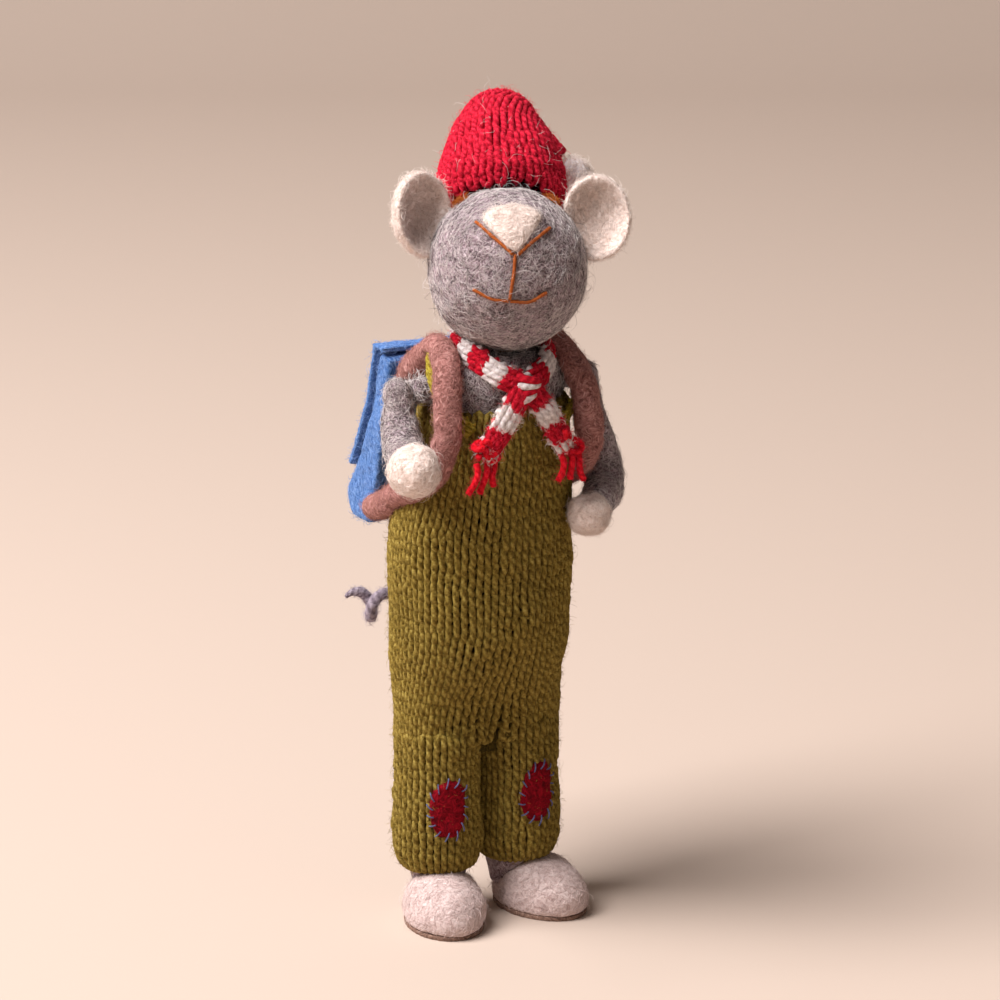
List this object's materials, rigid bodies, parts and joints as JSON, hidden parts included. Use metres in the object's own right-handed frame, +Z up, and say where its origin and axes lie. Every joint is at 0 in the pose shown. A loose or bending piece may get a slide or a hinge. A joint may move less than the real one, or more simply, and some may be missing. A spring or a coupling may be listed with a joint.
{
  "type": "felt mouse doll",
  "caption": "Standing mouse doll of felted wool in knitted dungarees, hat and scarf, with a felt backpack whose flap opens; arms, head and tail move.",
  "frame": {"origin": "on the floor, under the middle of the doll's box", "axes": "+Z up, the doll faces -Y, its left side is +X"},
  "size_m": [0.0952, 0.1083, 0.2775],
  "materials": {
    "grey_felt": "felted wool, heathered light and dark fibres",
    "cream_felt": "felted wool",
    "eye_felt": "felted wool",
    "mouth_thread": "twisted sewing thread",
    "red_knit": "stockinette wool knit",
    "white_felt": "felted wool ball",
    "olive_knit": "stockinette wool knit",
    "dark_red_felt": "felted wool sheet",
    "shoe_felt": "felted wool",
    "sole_felt": "dense felt",
    "blue_felt": "felted wool sheet",
    "brown_felt": "felted wool rope",
    "striped_knit": "red and white wool knit",
    "red_yarn": "wool yarn",
    "lilac_yarn": "curled wool yarn",
    "wire": "soft drawn wire",
    "wood_peg": "turned hardwood"
  },
  "bodies": {
    "doll": {"torso": "grey_felt", "leg_right": "grey_felt", "leg_left": "grey_felt", "leg_wire_right": "wire", "leg_wire_left": "wire", "shoulder_wire": "wire", "neck_peg": "wood_peg", "dungarees": "olive_knit", "bib_strap_right": "olive_knit", "bib_strap_left": "olive_knit", "knee_patch_right": "dark_red_felt", "knee_patch_left": "dark_red_felt", "shoe_right": "shoe_felt", "shoe_left": "shoe_felt", "sole_right": "sole_felt", "sole_left": "sole_felt", "backpack": "blue_felt", "pack_strap_right": "brown_felt", "pack_strap_left": "brown_felt", "scarf_loop": "striped_knit", "scarf_knot": "striped_knit", "scarf_end_right": "striped_knit", "scarf_end_left": "striped_knit", "scarf_fringe_right": "red_yarn", "scarf_fringe_left": "red_yarn"},
    "head": {"head": "grey_felt", "nose_patch": "cream_felt", "eye_right": "eye_felt", "eye_left": "eye_felt", "mouth_stitching": "mouth_thread", "ear_right": "cream_felt", "ear_left": "cream_felt"},
    "hat": {"hat": "red_knit", "pompom": "white_felt"},
    "arm_right": {"arm_right": "grey_felt", "hand_right": "cream_felt"},
    "arm_left": {"arm_left": "grey_felt", "hand_left": "cream_felt"},
    "pack_flap": {"pack_flap": "blue_felt", "pack_button": "brown_felt"},
    "tail": {"tail": "lilac_yarn"}
  },
  "joints": [
    {"name": "head_turn", "type": "hinge", "parent": "doll", "child": "head", "pos_m": [0.0024, -0.0224, 0.196], "axis": [0, 0, 1], "range_deg": [-25, 45]},
    {"name": "hat_pull", "type": "slide", "parent": "head", "child": "hat", "axis": [0.2802, 0.7698, 0.5736], "range_m": [0, 0.05]},
    {"name": "arm_swing_right", "type": "hinge", "parent": "doll", "child": "arm_right", "pos_m": [-0.0354, -0.0184, 0.184], "axis": [-1, 0, 0], "range_deg": [-6, 95]},
    {"name": "arm_swing_left", "type": "hinge", "parent": "doll", "child": "arm_left", "pos_m": [0.0354, -0.0184, 0.184], "axis": [-1, 0, 0], "range_deg": [-1, 90]},
    {"name": "flap_open", "type": "hinge", "parent": "doll", "child": "pack_flap", "pos_m": [-0.0016, 0.0042, 0.1926], "axis": [1, 0, 0], "range_deg": [0, 75]},
    {"name": "tail_swing", "type": "hinge", "parent": "doll", "child": "tail", "pos_m": [-0.0016, 0.017, 0.097], "axis": [0, 0, 1], "range_deg": [-70, 15]}
  ]
}
